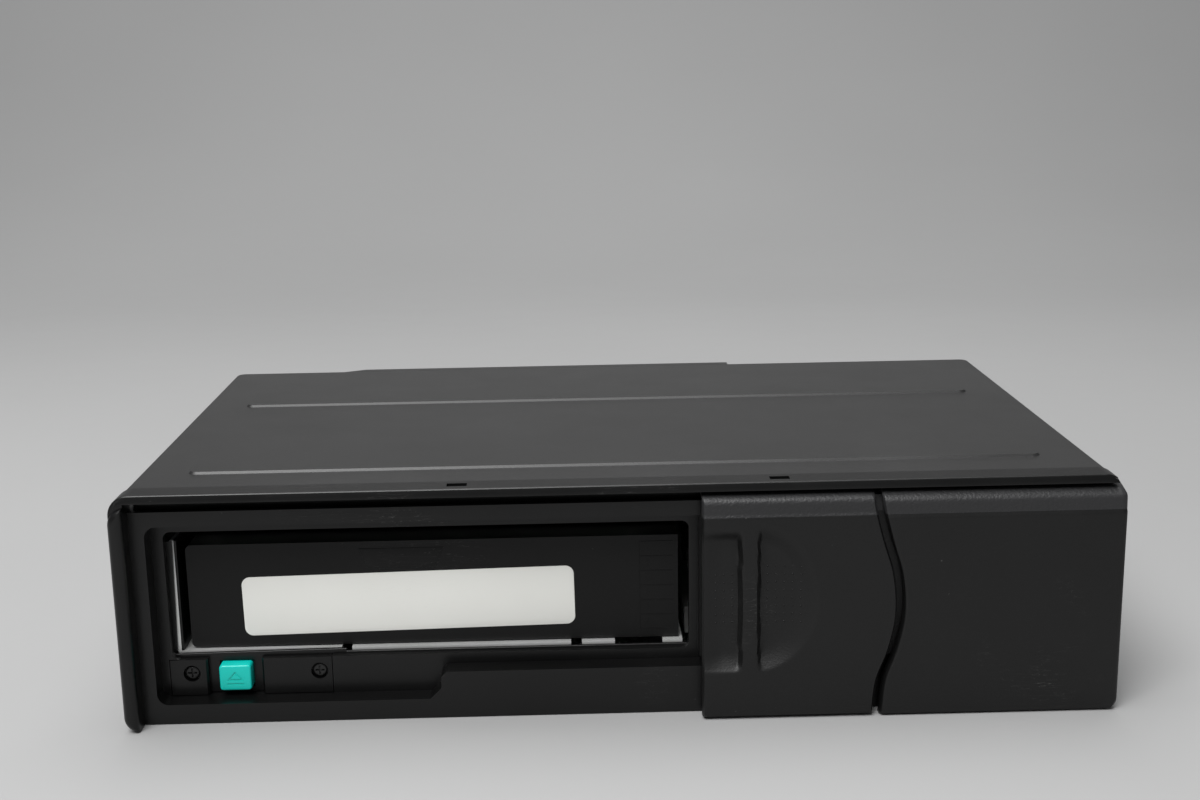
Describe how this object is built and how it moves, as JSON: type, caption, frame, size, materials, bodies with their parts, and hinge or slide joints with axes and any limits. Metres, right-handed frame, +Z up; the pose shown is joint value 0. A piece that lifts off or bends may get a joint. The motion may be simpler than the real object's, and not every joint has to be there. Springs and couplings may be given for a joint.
{
  "type": "car cd changer",
  "caption": "Boot-mounted disc changer: flat steel case, black front with a sliding door, pull-out magazine with disc trays, and a lifting player inside.",
  "frame": {"origin": "middle of the box round the object, at the base it stands on", "axes": "+X to the right seen from the front, +Y to the back, +Z up"},
  "size_m": [0.265, 0.164, 0.065],
  "materials": {
    "black_steel": "satin black paint on sheet steel",
    "black_plastic": "matte black moulding",
    "bezel_plastic": "satin black moulding",
    "magazine_plastic": "matte black moulding",
    "tray_plastic": "dark moulding",
    "teal_plastic": "teal moulding",
    "label_stock": "white film label",
    "zinc_steel": "bright zinc-plated sheet steel",
    "steel": "bright steel",
    "screw_black": "black screw",
    "white_plastic": "natural acetal",
    "rubber": "soft rubber",
    "board": "green board",
    "component": "black parts",
    "motor_can": "plain metal can",
    "lens": "clear lens",
    "ribbon": "flat cable"
  },
  "bodies": {
    "housing": {"bottom_chassis": "zinc_steel", "top_cover": "black_steel", "case_screws": "steel", "front_bezel": "bezel_plastic", "button_plate": "bezel_plastic", "button_plate_screws": "screw_black", "right_front_panel": "black_plastic", "magazine_cage": "zinc_steel", "mech_frame": "zinc_steel", "damper_mounts": "rubber", "lift_guide_posts": "steel", "eject_switch": "board", "eject_button_spring": "steel", "ejector_spring": "steel", "clamp_arm_pin": "steel", "lift_gear_axle": "steel", "lift_motor": "motor_can", "main_circuit_board": "board", "board_components": "component", "rear_socket": "component", "ribbon_cable": "ribbon"},
    "door": {"sliding_door": "black_plastic"},
    "shutter": {"door_shutter": "black_plastic"},
    "button": {"eject_button": "teal_plastic"},
    "magazine": {"magazine_case": "magazine_plastic", "magazine_label": "label_stock"},
    "ejector": {"magazine_ejector": "steel"},
    "elevator": {"elevator_base": "zinc_steel", "elevator_bushes": "white_plastic", "spindle_motor": "motor_can", "sled_guide_rods": "steel", "sled_motor": "motor_can", "loading_rod": "steel", "loading_motor": "motor_can"},
    "turntable": {"turntable": "component"},
    "pickup": {"pickup_sled": "component", "pickup_lens": "lens"},
    "sled_screw": {"sled_screw": "steel"},
    "loading_carriage": {"loading_carriage": "white_plastic"},
    "loading_screw": {"loading_screw": "white_plastic"},
    "loading_pinion": {"loading_pinion": "white_plastic"},
    "clamp_arm": {"clamp_arm": "zinc_steel"},
    "clamper": {"clamper": "component"},
    "lift_cam": {"lift_cam_plate": "steel"},
    "lift_gear": {"lift_gear": "white_plastic"},
    "lift_pinion": {"lift_pinion": "white_plastic"},
    "dial_left": {"angle_dial_left": "white_plastic"},
    "dial_right": {"angle_dial_right": "white_plastic"},
    "tray_1": {"disc_tray_1": "tray_plastic"},
    "tray_2": {"disc_tray_2": "tray_plastic"},
    "tray_3": {"disc_tray_3": "tray_plastic"},
    "tray_4": {"disc_tray_4": "tray_plastic"},
    "tray_5": {"disc_tray_5": "tray_plastic"},
    "tray_6": {"disc_tray_6": "tray_plastic"}
  },
  "joints": [
    {"name": "door_slide", "type": "slide", "parent": "housing", "child": "door", "axis": [-1, 0, 0], "range_m": [0, 0.149]},
    {"name": "shutter_slide", "type": "slide", "parent": "housing", "child": "shutter", "axis": [-1, 0, 0], "range_m": [0, 0.107]},
    {"name": "eject_button_press", "type": "slide", "parent": "housing", "child": "button", "axis": [0, 1, 0], "range_m": [0, 0.002], "stiffness_N_per_m": 700, "springref_m": -0.001, "deforming": ["eject_button_spring"]},
    {"name": "magazine_slide", "type": "slide", "parent": "housing", "child": "magazine", "axis": [0, 1, 0], "range_m": [-0.16, 0]},
    {"name": "magazine_ejector_slide", "type": "slide", "parent": "housing", "child": "ejector", "axis": [0, 1, 0], "range_m": [-0.0245, 0], "deforming": ["ejector_spring"]},
    {"name": "tray_1_slide", "type": "slide", "parent": "magazine", "child": "tray_1", "axis": [-1, 0, 0], "range_m": [-0.092, 0]},
    {"name": "tray_2_slide", "type": "slide", "parent": "magazine", "child": "tray_2", "axis": [-1, 0, 0], "range_m": [-0.092, 0]},
    {"name": "tray_3_slide", "type": "slide", "parent": "magazine", "child": "tray_3", "axis": [-1, 0, 0], "range_m": [-0.092, 0]},
    {"name": "tray_4_slide", "type": "slide", "parent": "magazine", "child": "tray_4", "axis": [-1, 0, 0], "range_m": [-0.092, 0]},
    {"name": "tray_5_slide", "type": "slide", "parent": "magazine", "child": "tray_5", "axis": [-1, 0, 0], "range_m": [-0.092, 0]},
    {"name": "tray_6_slide", "type": "slide", "parent": "magazine", "child": "tray_6", "axis": [-1, 0, 0], "range_m": [-0.092, 0]},
    {"name": "elevator_lift", "type": "slide", "parent": "housing", "child": "elevator", "axis": [0, 0, 1], "range_m": [0, 0.0266]},
    {"name": "lift_cam_slide", "type": "slide", "parent": "housing", "child": "lift_cam", "axis": [0, -1, 0], "range_m": [0, 0.0242]},
    {"name": "lift_gear_turn", "type": "hinge", "parent": "housing", "child": "lift_gear", "pos_m": [0.10738, -0.036, 0.005], "axis": [0, 0, 1], "range_deg": [-116.9, 0]},
    {"name": "lift_pinion_turn", "type": "hinge", "parent": "housing", "child": "lift_pinion", "pos_m": [0.09882, -0.05083, 0.005], "axis": [0, 0, 1], "range_deg": [0, 280.5]},
    {"name": "clamp_arm_swing", "type": "hinge", "parent": "housing", "child": "clamp_arm", "pos_m": [0.0419, 0.066, 0.0535], "axis": [1, 0, 0], "range_deg": [0, 3.6]},
    {"name": "turntable_spin", "type": "hinge", "parent": "elevator", "child": "turntable", "pos_m": [0.0419, 0.003, 0.0132], "axis": [0, 0, 1], "continuous": true},
    {"name": "clamper_spin", "type": "hinge", "parent": "clamp_arm", "child": "clamper", "pos_m": [0.0419, 0.003, 0.048], "axis": [0, 0, 1], "continuous": true},
    {"name": "pickup_slide", "type": "slide", "parent": "elevator", "child": "pickup", "axis": [0, 1, 0], "range_m": [0, 0.033]},
    {"name": "sled_screw_turn", "type": "hinge", "parent": "elevator", "child": "sled_screw", "pos_m": [0.0639, 0.033, 0.014], "axis": [0, 1, 0], "range_deg": [0, 4039.2]},
    {"name": "loading_slide", "type": "slide", "parent": "elevator", "child": "loading_carriage", "axis": [1, 0, 0], "range_m": [0, 0.092]},
    {"name": "loading_screw_turn", "type": "hinge", "parent": "elevator", "child": "loading_screw", "pos_m": [0.07, -0.033, 0.0136], "axis": [1, 0, 0], "range_deg": [0, 5630.4]},
    {"name": "loading_pinion_turn", "type": "hinge", "parent": "elevator", "child": "loading_pinion", "pos_m": [0.115, -0.02568, 0.0136], "axis": [1, 0, 0], "range_deg": [-5630.4, 0]},
    {"name": "angle_dial_left_turn", "type": "hinge", "parent": "housing", "child": "dial_left", "pos_m": [-0.129, 0.003, 0.04], "axis": [1, 0, 0], "range_deg": [0, 90]},
    {"name": "angle_dial_right_turn", "type": "hinge", "parent": "housing", "child": "dial_right", "pos_m": [0.129, 0.003, 0.04], "axis": [1, 0, 0], "range_deg": [0, 90]}
  ],
  "couplings": [
    {"joint": "shutter_slide", "follows": "door_slide", "ratio": 0.71},
    {"joint": "magazine_ejector_slide", "follows": "magazine_slide", "ratio": 0.15},
    {"joint": "lift_cam_slide", "follows": "elevator_lift", "ratio": 0.90226},
    {"joint": "lift_gear_turn", "follows": "elevator_lift", "rad_per_m": -75.188},
    {"joint": "lift_pinion_turn", "follows": "elevator_lift", "rad_per_m": 180.45},
    {"joint": "clamp_arm_swing", "follows": "elevator_lift", "rad_per_m": 2.25},
    {"joint": "clamper_spin", "follows": "turntable_spin", "ratio": 1},
    {"joint": "sled_screw_turn", "follows": "pickup_slide", "rad_per_m": 2094.4},
    {"joint": "loading_screw_turn", "follows": "loading_slide", "rad_per_m": 1047.2},
    {"joint": "loading_pinion_turn", "follows": "loading_slide", "rad_per_m": -1047.2}
  ]
}
